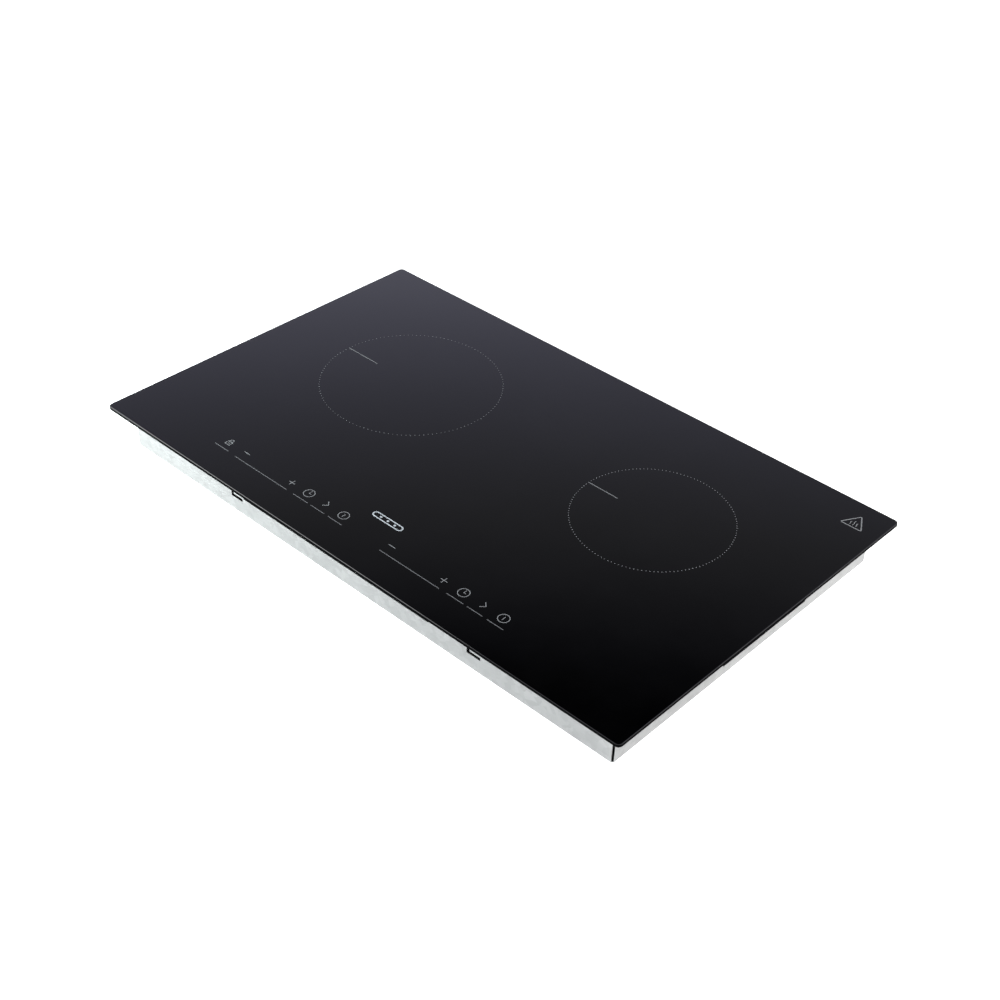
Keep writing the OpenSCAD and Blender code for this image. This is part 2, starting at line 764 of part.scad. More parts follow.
// From the inlet's side: a film capacitor, a ring choke, a surge arrester and a fuse box
module filter_parts() {
    choke_r = 9;
    choke_wound_r = 5.5;
    color([0.85, 0.75, 0.2]) {
        block(filter_x - 22, filter_y, board_top, 14, 26, 13);
        translate([filter_x + 2, filter_y, board_top + choke_wound_r + 0.5]) rotate_extrude()
            translate([choke_r, 0]) circle(r = choke_wound_r, $fn = 32);
        translate([filter_x + 24, filter_y - 4, board_top]) cylinder(r = 5, h = 14);
        block(filter_x + 40, filter_y, board_top, 8, 14, 9);
    }
}

// ---------- fans ----------

function fan_holes(side) = [for (sx = [-1, 1], sy = [-1, 1])
    [fan_x(side) + sx * (fan_w / 2 - fan_hole_in), fan_y + sy * (fan_w / 2 - fan_hole_in)]];

module at_fan(side) {
    translate([fan_x(side), fan_y, sheet_t]) children();
}

// Square frame with a round duct; four struts on top hold the motor boss and its bearing tube
module fan_frame(side) {
    color([0.1, 0.1, 0.1]) at_fan(side) {
        difference() {
            round_plate(fan_w, fan_w, fan_h, 3);
            translate([0, 0, -1]) cylinder(r = fan_bore_r, h = fan_h + 2);
            for (sx = [-1, 1], sy = [-1, 1])
                translate([sx * (fan_w / 2 - fan_hole_in), sy * (fan_w / 2 - fan_hole_in), -1])
                    cylinder(r = fan_hole_r, h = fan_h + 2);
        }
        difference() {
            union() {
                translate([0, 0, fan_h - fan_strut_h]) cylinder(r = fan_boss_r, h = fan_strut_h);
                translate([0, 0, 6]) cylinder(r = fan_bearing_r, h = fan_h - 6 - e);
                for (a = [45 : 90 : 315]) rotate([0, 0, a])
                    translate([fan_boss_r - 1, -1.5, fan_h - fan_strut_h])
                        cube([fan_bore_r - fan_boss_r + 2, 3, fan_strut_h]);
            }
            translate([0, 0, 5]) cylinder(r = fan_bearing_bore_r, h = fan_h);
        }
    }
}

// Hub cup, shaft and pitched blades, running inside the frame's duct
module fan_rotor(side) {
    hub_z = 2.5;
    hub_h = fan_h - fan_strut_h - 1 - hub_z;
    color([0.15, 0.15, 0.15]) at_fan(side) {
        difference() {
            translate([0, 0, hub_z]) cylinder(r = fan_hub_r, h = hub_h);
            translate([0, 0, hub_z + 1.5]) cylinder(r = fan_hub_r - 2, h = hub_h);
        }
        translate([0, 0, hub_z + 1]) cylinder(r = fan_shaft_r, h = fan_h - hub_z - 2);
        intersection() {
            difference() {
                cylinder(r = fan_bore_r - fan_tip_gap, h = fan_h);
                translate([0, 0, -1]) cylinder(r = fan_hub_r - 0.8, h = fan_h + 2);
            }
            for (i = [0 : blade_count - 1]) rotate([0, 0, 360 * i / blade_count])
                translate([fan_bore_r / 2 + 6, 0, hub_z + hub_h / 2]) rotate([blade_pitch, 0, 0])
                    cube([fan_bore_r, blade_chord, blade_t], center = true);
        }
    }
}

module fan_screws() {
    color([0.7, 0.7, 0.72]) for (side = [LEFT, RIGHT], p = fan_holes(side))
        translate([p[0], p[1], sheet_t + fan_h]) screw(m4_r - 0.02, m4_head_r, m4_head_h, fan_h + sheet_t);
}

// ---------- mains inlet ----------

module terminal_block() {
    pitch = terminal_w / 4;
    color([0.92, 0.91, 0.86]) difference() {
        block(inlet_x, terminal_y, sheet_t, terminal_w, terminal_d, terminal_h);
        for (i = [0 : 3]) {
            x = inlet_x + (i - 1.5) * pitch;
            translate([x, terminal_y + terminal_d, terminal_wire_z]) rotate([90, 0, 0])
                cylinder(r = terminal_wire_r, h = 2 * terminal_d);
            translate([x, terminal_y, terminal_wire_z]) cylinder(r = terminal_well_r, h = terminal_h);
        }
    }
}

module terminal_screws() {
    pitch = terminal_w / 4;
    color([0.7, 0.7, 0.72]) for (i = [0 : 3])
        translate([inlet_x + (i - 1.5) * pitch, terminal_y, terminal_wire_z + 3]) difference() {
            cylinder(r = terminal_well_r - 0.02, h = 4);
            translate([0, 0, 4.5]) cube([6, 0.8, 2], center = true);
        }
}

// Bush in the rear wall: flange outside, neck through the wall, bore for the cord
module cord_bush() {
    color([0.1, 0.1, 0.1]) translate([inlet_x, tray_back, inlet_z]) rotate([90, 0, 0]) difference() {
        union() {
            translate([0, 0, -bush_flange_t]) cylinder(r = bush_flange_r, h = bush_flange_t);
            translate([0, 0, -e]) cylinder(r = bush_neck_r, h = bush_l - bush_flange_t + e);
        }
        translate([0, 0, -bush_flange_t - 1]) cylinder(r = cord_bore_r, h = bush_l + 2);
    }
}

// Leads from the terminal block to the filter board, and from there to both generator boards
module supply_leads() {
    r = 1.4;
    front = terminal_y - terminal_d / 2;
    low = sheet_t + 3;
    color([0.45, 0.3, 0.15]) {
        for (i = [0, 1]) {
            x = inlet_x + (0.5 + i) * terminal_w / 4;
            loop_y = front - 12 + 5 * i;
            end_x = filter_x - filter_w / 2 + 14 - 6 * i;
            wire(eased([
                [x, front + 2, terminal_wire_z], [x, loop_y, terminal_wire_z],
                [end_x, loop_y, terminal_wire_z + 5],
                [end_x, filter_y - 4, board_top + 8], [end_x, filter_y - 4, board_top]
            ]), r);
        }
        for (side = [LEFT, RIGHT]) {
            x = board_x(side) - side * 84;
            y = filter_y - filter_d / 2 + 5 + (side > 0 ? 8 : 0);
            wire(eased([
                [filter_x + 30 + side * 3, y - 4, board_top],
                [filter_x + 30 + side * 3, y - 4, board_top + 6],
                [filter_x + filter_w / 2 + 14, y - 10, low + 6], [x, y - 10 + side * 4, low + 3],
                [x, zone_y, low], [x, fan_y + board_d / 2 + 8, low + 6],
                [x, fan_y + board_d / 2 - 4, board_top + 8], [x, fan_y + board_d / 2 - 12, board_top + 8],
                [x, fan_y + board_d / 2 - 12, board_top]
            ]), r);
        }
    }
}

glass_plate();
glass_adhesive();
worktop_seal();
bottom_tray();
rail_front();
rail_rear();
side_rail(LEFT);  // rail_left
side_rail(RIGHT);  // rail_right
rail_screws();
touch_board();
touch_carrier();
touch_pads();
display_left();
display_right();
ribbon_cable();
coil_former(LEFT);  // coil_former_left
coil_former(RIGHT);  // coil_former_right
coil_winding(LEFT);  // coil_winding_left
coil_winding(RIGHT);  // coil_winding_right
coil_ferrites(LEFT);  // coil_ferrites_left
coil_ferrites(RIGHT);  // coil_ferrites_right
coil_disc(LEFT);  // coil_disc_left
coil_disc(RIGHT);  // coil_disc_right
coil_sensor(LEFT);  // coil_sensor_left
coil_sensor(RIGHT);  // coil_sensor_right
coil_springs(LEFT);  // coil_springs_left
coil_springs(RIGHT);  // coil_springs_right
coil_pins(LEFT);  // coil_pins_left
coil_pins(RIGHT);  // coil_pins_right
coil_plate(LEFT);  // coil_plate_left
coil_plate(RIGHT);  // coil_plate_right
coil_leads(LEFT);  // coil_leads_left
coil_leads(RIGHT);  // coil_leads_right
plate_pillars();
plate_screws();
power_board(LEFT);  // power_board_left
power_board(RIGHT);  // power_board_right
heatsink(LEFT);  // heatsink_left
heatsink(RIGHT);  // heatsink_right
power_transistors(LEFT);  // power_transistors_left
power_transistors(RIGHT);  // power_transistors_right
board_capacitors(LEFT);  // board_capacitors_left
board_capacitors(RIGHT);  // board_capacitors_right
board_choke(LEFT);  // board_choke_left
board_choke(RIGHT);  // board_choke_right
board_standoffs();
board_screws();
insulation_sheets();
filter_board();
filter_parts();
fan_frame(LEFT);  // fan_frame_left
fan_frame(RIGHT);  // fan_frame_right
fan_rotor(LEFT);  // fan_rotor_left
fan_rotor(RIGHT);  // fan_rotor_right
fan_screws();
terminal_block();
terminal_screws();
cord_bush();
supply_leads();
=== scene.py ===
"""Two-zone built-in induction cooktop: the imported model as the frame, with a bevelled glass-ceramic plate,
its fired-on marks, cross-recess screws and a finish for every piece. Metres, Z up, the cook stands at -Y."""
import json
import math

import bpy
import numpy as np
from mathutils import Matrix, Vector


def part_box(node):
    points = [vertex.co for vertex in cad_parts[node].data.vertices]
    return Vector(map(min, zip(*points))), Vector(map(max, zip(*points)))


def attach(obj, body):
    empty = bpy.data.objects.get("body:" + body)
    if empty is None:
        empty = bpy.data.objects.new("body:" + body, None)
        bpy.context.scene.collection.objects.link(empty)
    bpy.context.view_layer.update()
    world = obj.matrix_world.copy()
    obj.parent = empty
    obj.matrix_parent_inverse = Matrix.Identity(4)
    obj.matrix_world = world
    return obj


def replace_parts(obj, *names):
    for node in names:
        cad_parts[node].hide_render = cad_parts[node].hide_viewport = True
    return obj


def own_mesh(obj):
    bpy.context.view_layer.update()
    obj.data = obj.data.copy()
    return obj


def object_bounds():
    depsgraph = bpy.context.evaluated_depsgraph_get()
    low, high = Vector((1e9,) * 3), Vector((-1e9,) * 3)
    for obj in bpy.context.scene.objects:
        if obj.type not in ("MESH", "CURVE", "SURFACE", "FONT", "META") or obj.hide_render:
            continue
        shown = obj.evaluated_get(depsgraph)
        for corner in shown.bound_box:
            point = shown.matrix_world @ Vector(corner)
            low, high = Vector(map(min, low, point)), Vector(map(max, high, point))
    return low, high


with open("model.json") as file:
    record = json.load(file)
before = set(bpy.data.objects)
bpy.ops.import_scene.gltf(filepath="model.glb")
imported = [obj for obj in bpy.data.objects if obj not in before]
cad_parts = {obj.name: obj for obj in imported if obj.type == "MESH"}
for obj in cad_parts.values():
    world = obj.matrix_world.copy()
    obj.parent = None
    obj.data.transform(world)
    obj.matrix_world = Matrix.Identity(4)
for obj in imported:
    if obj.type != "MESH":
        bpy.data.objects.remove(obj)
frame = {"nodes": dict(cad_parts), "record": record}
CAD_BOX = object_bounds()
NODES = frame["nodes"]
MM = 0.001


# ---------------------------------------------------------------- camera

VIEW_AZIMUTH, VIEW_ELEVATION, VIEW_ROLL = (math.radians(angle) for angle in (41.639, 36.970, 2.468))
VIEW_FROM = (0.896906, -0.990584, 1.008332)
LENS = 58.25


def place_camera():
    """A camera looking down at the cook's side from the right, turned about its own axis by the roll."""
    level = math.cos(VIEW_ELEVATION)
    back = Vector((math.sin(VIEW_AZIMUTH) * level, -math.cos(VIEW_AZIMUTH) * level, math.sin(VIEW_ELEVATION)))
    right = (-back).cross(Vector((0, 0, 1))).normalized()
    up = right.cross(-back)
    turn_cos, turn_sin = math.cos(VIEW_ROLL), math.sin(VIEW_ROLL)
    right, up = (turn_cos * right + turn_sin * up, -turn_sin * right + turn_cos * up)
    data = bpy.data.cameras.new("camera")
    data.lens = LENS
    data.sensor_width = 36
    data.clip_end = 60
    camera = bpy.data.objects.new("camera", data)
    turn = Matrix((right, up, back)).transposed()
    camera.matrix_world = Matrix.Translation(VIEW_FROM) @ turn.to_4x4()
    bpy.context.scene.collection.objects.link(camera)
    bpy.context.scene.camera = camera


place_camera()


# ---------------------------------------------------------------- shapes

class Shape:
    """Points and faces of one or more closed skins, kept as arrays until they are put into a mesh."""

    def __init__(self, points, quads=None, tris=None):
        self.points = np.asarray(points, float).reshape(-1, 3)
        self.quads = np.zeros((0, 4), int) if quads is None else np.asarray(quads, int).reshape(-1, 4)
        self.tris = np.zeros((0, 3), int) if tris is None else np.asarray(tris, int).reshape(-1, 3)

    def __add__(self, other):
        shift = len(self.points)
        return Shape(np.vstack([self.points, other.points]), np.vstack([self.quads, other.quads + shift]),
                     np.vstack([self.tris, other.tris + shift]))

    def piece(self, name, body, slot, finishes, smooth=False, finish_of=None):
        """The shape as a scene object in metres that rides on a body. smooth and finish_of are values per
        face, quads first."""
        quad_count, tri_count = len(self.quads), len(self.tris)
        face_count = quad_count + tri_count
        corners = np.concatenate([self.quads.ravel(), self.tris.ravel()])
        starts = np.concatenate([np.arange(quad_count) * 4, 4 * quad_count + np.arange(tri_count) * 3])
        mesh = bpy.data.meshes.new(name)
        mesh.vertices.add(len(self.points))
        mesh.vertices.foreach_set("co", (self.points * MM).astype(np.float32).ravel())
        mesh.loops.add(len(corners))
        mesh.loops.foreach_set("vertex_index", corners.astype(np.int32))
        mesh.polygons.add(face_count)
        mesh.polygons.foreach_set("loop_start", starts.astype(np.int32))
        mesh.polygons.foreach_set("use_smooth", np.broadcast_to(np.asarray(smooth, bool), face_count).copy())
        if finish_of is not None:
            mesh.polygons.foreach_set("material_index", np.asarray(finish_of, np.int32))
        for finish in finishes:
            mesh.materials.append(finish)
        mesh.update(calc_edges=True)
        mesh.validate()
        thing = bpy.data.objects.new(name, mesh)
        bpy.context.scene.collection.objects.link(thing)
        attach(thing, body)
        return thing


def lattice(rows, cols, wrap_cols=True, first=0):
    """Quads between neighbouring points of a grid numbered row by row. A wrapped row joins its last point to
    its first. Rows that climb with columns that turn anticlockwise give faces that point outwards."""
    r = np.arange(rows - 1)[:, None]
    c = np.arange(cols if wrap_cols else cols - 1)[None, :]
    following = (c + 1) % cols
    corners = [r * cols + c, r * cols + following, (r + 1) * cols + following, (r + 1) * cols + c]
    return first + np.stack(corners, -1).reshape(-1, 4)


def lathe_stack(rings):
    """A closed skin through equal rings, an array of (rings, points, 3) that climbs and turns anticlockwise:
    quads between the rings and a fan to the middle of the first and of the last."""
    count, cols = rings.shape[:2]
    ends = rings[[0, -1]].mean(axis=1)
    points = np.vstack([rings.reshape(-1, 3), ends])
    c = np.arange(cols)
    following = (c + 1) % cols
    under = np.stack([np.full(cols, count * cols), following, c], -1)
    top = (count - 1) * cols
    over = np.stack([np.full(cols, count * cols + 1), top + c, top + following], -1)
    return Shape(points, lattice(count, cols), np.vstack([under, over]))


def rounded_outline(half_x, half_y, radius, inset, steps=10):
    """Outline of a rectangle with round corners, moved inwards by inset: four quarter circles of radius minus
    inset about the same corner centres, anticlockwise."""
    turn = np.linspace(0, math.pi / 2, steps)
    quarter = np.arange(4)[:, None] * math.pi / 2 + turn[None, :]
    sign = np.array([[1, 1], [-1, 1], [-1, -1], [1, -1]], float)[:, None, :]
    centre = sign * np.array([half_x - radius, half_y - radius])
    arc = np.stack([np.cos(quarter), np.sin(quarter)], -1) * (radius - inset)
    return (centre + arc).reshape(-1, 2)


# ---------------------------------------------------------------- materials

class Field:
    """A value that changes over a surface: a node's output, wrapped so that an expression adds Math nodes."""

    def __init__(self, finish, socket):
        self.finish = finish
        self.socket = socket

    def maths(self, operation, *others, swap=False):
        values = [self, *others]
        if swap:
            values.reverse()
        return self.finish.add("ShaderNodeMath", {"operation": operation}, dict(enumerate(values)))

    def __add__(self, other):
        return self.maths("ADD", other)

    def __sub__(self, other):
        return self.maths("SUBTRACT", other)

    def __rsub__(self, other):
        return self.maths("SUBTRACT", other, swap=True)

    def __mul__(self, other):
        return self.maths("MULTIPLY", other)

    def __pow__(self, other):
        return self.maths("POWER", other)

    def __abs__(self):
        return self.maths("ABSOLUTE")

    def sine(self):
        return self.maths("SINE")

    def wrap(self, length):
        """The remainder after whole lengths, from 0 to length."""
        return self.maths("WRAP", length, 0.0)

    def above(self, other):
        return self.maths("GREATER_THAN", other)

    def smaller(self, other):
        return self.maths("MINIMUM", other)

    def rise(self, low, high):
        """0 where the value is under low, 1 where it is over high, and an even S-curve between."""
        return self.finish.add("ShaderNodeMapRange", {"interpolation_type": "SMOOTHSTEP"},
                               {0: self, 1: low, 2: high})

    __radd__ = __add__
    __rmul__ = __mul__


class Nodes:
    """The emptied node tree of a material or a world, with the output that its last shader goes to."""

    def __init__(self, owner, output):
        owner.use_nodes = True
        self.tree = owner.node_tree
        self.tree.nodes.clear()
        self.output = self.tree.nodes.new(output)

    def add(self, kind, settings=None, sockets=None, out=0):
        """A node of that kind: its settings first, then its sockets' values or links. Gives one output."""
        node = self.tree.nodes.new(kind)
        for name, value in (settings or {}).items():
            if name == "stops":
                for _ in value[2:]:
                    node.color_ramp.elements.new(0.5)
                for stop, (position, colour) in zip(node.color_ramp.elements, value):
                    stop.position = position
                    stop.color = colour
            else:
                setattr(node, name, value)
        for name, value in (sockets or {}).items():
            if isinstance(value, Field):
                self.tree.links.new(value.socket, node.inputs[name])
            else:
                node.inputs[name].default_value = value
        return Field(self, node.outputs[out])

    def show(self, shader):
        """The shader that the tree puts out."""
        self.tree.links.new(shader, self.output.inputs[0])


class Finish(Nodes):
    """One material: a Principled shader whose constants sit on its own sockets, and what varies it."""

    def __init__(self, name, **constants):
        self.material = bpy.data.materials.new(name)
        super().__init__(self.material, "ShaderNodeOutputMaterial")
        self.shader = self.tree.nodes.new("ShaderNodeBsdfPrincipled")
        self.show(self.shader.outputs[0])
        self.place = self.add("ShaderNodeTexCoord", out="Object")
        for socket, value in constants.items():
            self.shader.inputs[socket.replace("_", " ")].default_value = value

    def axes(self, place=None):
        """The three coordinates of a place as fields."""
        split = self.add("ShaderNodeSeparateXYZ", sockets={0: place or self.place}).socket.node
        return [Field(self, socket) for socket in split.outputs]

    def stretched(self, scale, rotation=(0, 0, 0), location=(0, 0, 0)):
        """The object's own coordinates, scaled per axis, turned and moved."""
        return self.add("ShaderNodeMapping", sockets={"Vector": self.place, "Scale": scale,
                                                      "Rotation": rotation, "Location": location})

    def noise(self, scale, detail=2.0, roughness=0.5, place=None):
        return self.add("ShaderNodeTexNoise", sockets={"Vector": place or self.place, "Scale": scale,
                                                       "Detail": detail, "Roughness": roughness})

    def cells(self, scale, out="Distance"):
        """Irregular cells about scattered points: the distance to the nearest point, or a colour per cell."""
        return self.add("ShaderNodeTexVoronoi", sockets={"Vector": self.place, "Scale": scale}, out=out)

    def between(self, share, first, second):
        """The colour that is first where share is 0 and second where it is 1."""
        return self.add("ShaderNodeMix", {"data_type": "RGBA"}, {0: share, 6: first, 7: second}, out=2)

    def vary(self, **fields):
        """Fields for the shader's Base_Color, Roughness or Metallic."""
        for socket, field in fields.items():
            self.tree.links.new(field.socket, self.shader.inputs[socket.replace("_", " ")])
        return self

    def relief(self, height, depth, strength=1.0):
        """Small relief: height from 0 to 1 over depth in metres."""
        bump = self.add("ShaderNodeBump", sockets={"Strength": strength, "Distance": depth, "Height": height})
        self.tree.links.new(bump.socket, self.shader.inputs["Normal"])
        return self


def polished_glass():
    """Black glass-ceramic: a black body under a polished skin with a faint draw ripple and wiping haze."""
    f = Finish("polished_glass", IOR=1.5)
    haze = f.noise(9, 4, 0.6).rise(0.42, 0.75)
    streaks = f.noise(60, 3, 0.6, f.stretched((1.0, 0.08, 1.0), (0, 0, 0.5))).rise(0.5, 0.8)
    f.vary(Base_Color=f.between(haze, (0.0003, 0.0003, 0.0004, 1), (0.0009, 0.0009, 0.0011, 1)),
           Roughness=0.045 + haze * 0.02 + streaks * 0.012)
    return f.relief(f.noise(55, 1), 0.00001, 0.25).material


def ground_glass():
    """The plate's side and underside: black glass, ground matt, with fine grinding marks along the edge."""
    f = Finish("ground_glass", IOR=1.5, Specular_IOR_Level=0.0)
    marks = f.noise(1400, 2, 0.6, f.stretched((0.12, 0.12, 1.6)))
    f.vary(Base_Color=f.between(marks, (0.0016, 0.0016, 0.0018, 1), (0.005, 0.005, 0.0055, 1)),
           Roughness=0.4 + marks * 0.16)
    return f.relief(marks, 0.00003, 0.4).material


def enamel(name, dull, bright):
    """Fired-on enamel print: a matt, slightly mottled deposit on the glass."""
    f = Finish(name, IOR=1.5)
    mottle = f.noise(2600, 3, 0.65)
    f.vary(Base_Color=f.between(mottle, dull, bright), Roughness=0.42 + mottle * 0.18)
    return f.relief(mottle, 0.000008, 0.4).material


def zinc_sheet():
    """Zinc-coated sheet: flat crystal patches a few millimetres wide, fine rolling lines and slow clouds."""
    f = Finish("zinc_sheet", Metallic=1.0)
    patch = f.axes(f.cells(150, out="Color"))[0]
    rolling = f.noise(900, 3, 0.6, f.stretched((0.05, 0.05, 1.4)))
    cloud = f.noise(11, 3, 0.55)
    tone = patch * 0.35 + rolling * 0.25 + cloud * 0.4
    f.vary(Base_Color=f.between(tone, (0.3, 0.305, 0.305, 1), (0.5, 0.505, 0.505, 1)),
           Roughness=0.34 + patch * 0.05 + rolling * 0.07)
    return f.relief(rolling * 0.6 + patch * 0.4, 0.00002, 0.2).material


def plated_steel(name, dark, light, roughness, lines=(0.06, 1.0, 1.0)):
    """Zinc-plated or drawn steel: stretched fine lines, cloudy passivation and darker specks."""
    f = Finish(name, Metallic=1.0)
    drawn = f.noise(1500, 3, 0.6, f.stretched(lines))
    cloud = f.noise(140, 3, 0.6)
    specks = f.cells(700).rise(0.05, 0.16)
    f.vary(Base_Color=f.between((drawn * 0.5 + cloud * 0.5) * specks, dark, light),
           Roughness=roughness + drawn * 0.12 + cloud * 0.06)
    return f.relief(drawn, 0.00002, 0.25).material


def moulded(name, dark, light, roughness):
    """Moulded plastic: a fine spark-eroded grain, slow flow marks and slightly glossier rubbed places."""
    f = Finish(name, IOR=1.46)
    pores = f.noise(2200, 3, 0.6)
    flow = f.noise(35, 3, 0.5)
    f.vary(Base_Color=f.between(pores * 0.4 + flow * 0.6, dark, light),
           Roughness=roughness + pores * 0.14 - flow * 0.08)
    return f.relief(pores, 0.00003, 0.4).material


def rubbery(name, dark, light, grain, depth):
    """Silicone or foam: soft, dull, with pores of the given fineness."""
    f = Finish(name, IOR=1.41)
    pores = f.cells(grain)
    cloud = f.noise(grain * 0.2, 3, 0.6)
    f.vary(Base_Color=f.between(pores.rise(0.1, 0.7) * 0.6 + cloud * 0.4, dark, light),
           Roughness=0.72 + pores * 0.2)
    return f.relief(pores, depth, 0.6).material


def circuit_board():
    """Lacquered board: copper tracks show as lighter green lines with pads between them, over a faint
    glass-cloth weave. The tracks stand at an even pitch and step aside where a slow noise passes a level.
    Each patch of the board has tracks along one axis only."""
    f = Finish("circuit_board", IOR=1.5)
    x, y = f.axes()[:2]
    pitch_x, pitch_y, jog = 0.0051, 0.00765, 0.0017
    track_half, clear_half = 0.0005, 0.0007
    wander = f.noise(45, 1)
    lane_x = abs((x + wander.rise(0.49, 0.51) * jog).wrap(pitch_x) - pitch_x / 2)
    lane_y = abs((y + wander.rise(0.45, 0.47) * jog).wrap(pitch_y) - pitch_y / 2)
    patch = f.axes(f.cells(60, out="Color"))[0]
    along_y = (1 - lane_x.rise(track_half, clear_half)) * patch.above(0.5)
    along_x = (1 - lane_y.rise(track_half, clear_half)) * (0.5 - patch).above(0)
    tracks = (along_y + along_x).smaller(1.0)
    pads = 1 - f.cells(230).rise(0.16, 0.2)
    weave = ((x * 7000).sine() * (y * 7000).sine()) * 0.5 + 0.5
    green = f.between(tracks, (0.006, 0.05, 0.022, 1), (0.018, 0.135, 0.06, 1))
    f.vary(Base_Color=f.between(pads * 0.85, green, (0.42, 0.42, 0.4, 1)),
           Roughness=0.28 + weave * 0.07 + pads * 0.12, Metallic=pads * 0.8)
    return f.relief(tracks * 0.8 + weave * 0.2, 0.00004, 0.4).material


def litz(name, middle):
    """Stranded copper wound about a middle point: the strands cross each turn slantwise, as a sine of the
    angle, the radius and the height together."""
    f = Finish(name, Metallic=1.0)
    x, y, z = f.axes(f.stretched((1, 1, 1), location=(-middle[0], -middle[1], 0)))
    radius = (x * x + y * y) ** 0.5
    angle = y.maths("ARCTAN2", x)
    strands = (angle * 150 + radius * 5200 + z * 4200).sine() * 0.5 + 0.5
    lacquer = f.noise(160, 3, 0.6)
    f.vary(Base_Color=f.between(strands * 0.7 + lacquer * 0.3, (0.2, 0.072, 0.03, 1), (0.74, 0.34, 0.16, 1)),
           Roughness=0.3 + lacquer * 0.18)
    return f.relief(strands, 0.00018, 0.7).material


def braid(name, dark, light):
    """Woven sleeve over a lead: two families of slanting yarns that pass over and under one another."""
    f = Finish(name, IOR=1.45)
    x, y, z = f.axes()
    one = ((x + y + z) * 3600).sine()
    two = ((x - y + z * 0.4) * 3600).sine()
    weave = (one * two) * 0.5 + 0.5
    soil = f.noise(60, 3, 0.6)
    f.vary(Base_Color=f.between(weave * 0.6 + soil * 0.4, dark, light), Roughness=0.62 + weave * 0.2)
    return f.relief(weave, 0.0001, 0.5).material


def mica_sheet():
    """Pressed mica: overlapping pale flakes with a silky glance."""
    f = Finish("mica_sheet", IOR=1.58)
    flake = f.axes(f.cells(210, out="Color"))[0]
    fine = f.noise(800, 4, 0.65)
    f.vary(Base_Color=f.between(flake * 0.6 + fine * 0.4, (0.36, 0.31, 0.23, 1), (0.72, 0.67, 0.56, 1)),
           Roughness=0.3 + flake * 0.25)
    return f.relief(flake * 0.7 + fine * 0.3, 0.00006, 0.4).material


def sintered(name, dark, light):
    """Sintered ferrite: dark, dull and grainy, with lighter rubbed corners."""
    f = Finish(name, IOR=1.8)
    grain = f.noise(3000, 4, 0.7)
    worn = f.noise(120, 2, 0.5)
    f.vary(Base_Color=f.between(grain * 0.5 + worn * 0.5, dark, light), Roughness=0.55 + grain * 0.25)
    return f.relief(grain, 0.00004, 0.5).material


def fan_plastic():
    """Black glass-filled nylon: dull, with short pale fibres showing through the skin."""
    f = Finish("fan_plastic", IOR=1.5)
    fibres = f.noise(2400, 3, 0.7, f.stretched((1.0, 0.22, 1.0), (0, 0, 0.7))).rise(0.55, 0.75)
    dust = f.noise(90, 4, 0.6).rise(0.45, 0.8)
    black = f.between(fibres, (0.009, 0.009, 0.01, 1), (0.03, 0.03, 0.032, 1))
    f.vary(Base_Color=f.between(dust * 0.35, black, (0.09, 0.088, 0.085, 1)),
           Roughness=0.4 + dust * 0.25 + fibres * 0.1)
    return f.relief(fibres, 0.00002, 0.4).material


def capacitor_resin():
    """Dipped and boxed capacitors: glossy resin, deeper in colour where it pools, with dull dark pinholes."""
    f = Finish("capacitor_resin", IOR=1.52)
    pool = f.noise(70, 3, 0.5)
    pinholes = 1 - f.cells(520).rise(0.05, 0.12)
    resin = f.between(pool, (0.42, 0.2, 0.02, 1), (0.66, 0.4, 0.07, 1))
    f.vary(Base_Color=f.between(pinholes, resin, (0.18, 0.08, 0.012, 1)),
           Roughness=0.2 + pinholes * 0.4 + pool * 0.1)
    return f.material


GLASS = polished_glass()
GROUND = ground_glass()
SYMBOL = enamel("symbol_enamel", (0.12, 0.125, 0.13, 1), (0.2, 0.205, 0.215, 1))
LINE = enamel("line_enamel", (0.075, 0.077, 0.082, 1), (0.13, 0.132, 0.14, 1))
# One ring enamel in two copies: the left ring's copy is darker as painted shade, and the right ring's copy is
# lighter as painted light.
RINGS_LIT_AND_SHADED = {
    "left": enamel("ring_enamel_left_painted_shade", (0.115, 0.115, 0.125, 1), (0.21, 0.21, 0.225, 1)),
    "right": enamel("ring_enamel_right_painted_light", (0.14, 0.14, 0.153, 1), (0.26, 0.26, 0.28, 1)),
}
PALE = enamel("emblem_enamel", (0.3, 0.33, 0.36, 1), (0.47, 0.5, 0.53, 1))
PLATED = plated_steel("plated_screws", (0.4, 0.41, 0.43, 1), (0.74, 0.75, 0.77, 1), 0.22)

FINISHES = {
    "silicone": rubbery("silicone", (0.012, 0.012, 0.013, 1), (0.045, 0.045, 0.048, 1), 2400, 0.00004),
    "seal_foam": rubbery("seal_foam", (0.02, 0.02, 0.022, 1), (0.085, 0.085, 0.09, 1), 1100, 0.00025),
    "tray_sheet": zinc_sheet(),
    "rail_steel": plated_steel("rail_steel", (0.42, 0.43, 0.45, 1), (0.68, 0.69, 0.71, 1), 0.28),
    "screw_steel": PLATED,
    "spring_steel": plated_steel("spring_wire", (0.3, 0.3, 0.31, 1), (0.6, 0.6, 0.62, 1), 0.24,
                                 (1.0, 1.0, 0.2)),
    "black_plastic": moulded("black_plastic", (0.009, 0.009, 0.01, 1), (0.03, 0.03, 0.032, 1), 0.38),
    "white_plastic": moulded("white_plastic", (0.62, 0.6, 0.55, 1), (0.8, 0.79, 0.75, 1), 0.36),
    "board_green": circuit_board(),
    "contact_brass": plated_steel("contact_brass", (0.5, 0.36, 0.16, 1), (0.8, 0.63, 0.32, 1), 0.26),
    "ferrite": sintered("ferrite", (0.018, 0.018, 0.02, 1), (0.07, 0.07, 0.075, 1)),
    "mica": mica_sheet(),
    "aluminium": plated_steel("mill_aluminium", (0.62, 0.63, 0.64, 1), (0.86, 0.87, 0.88, 1), 0.26,
                              (0.03, 1.0, 1.0)),
    "capacitor_case": capacitor_resin(),
    "lead_sleeve": braid("lead_sleeve", (0.42, 0.4, 0.35, 1), (0.72, 0.7, 0.64, 1)),
}


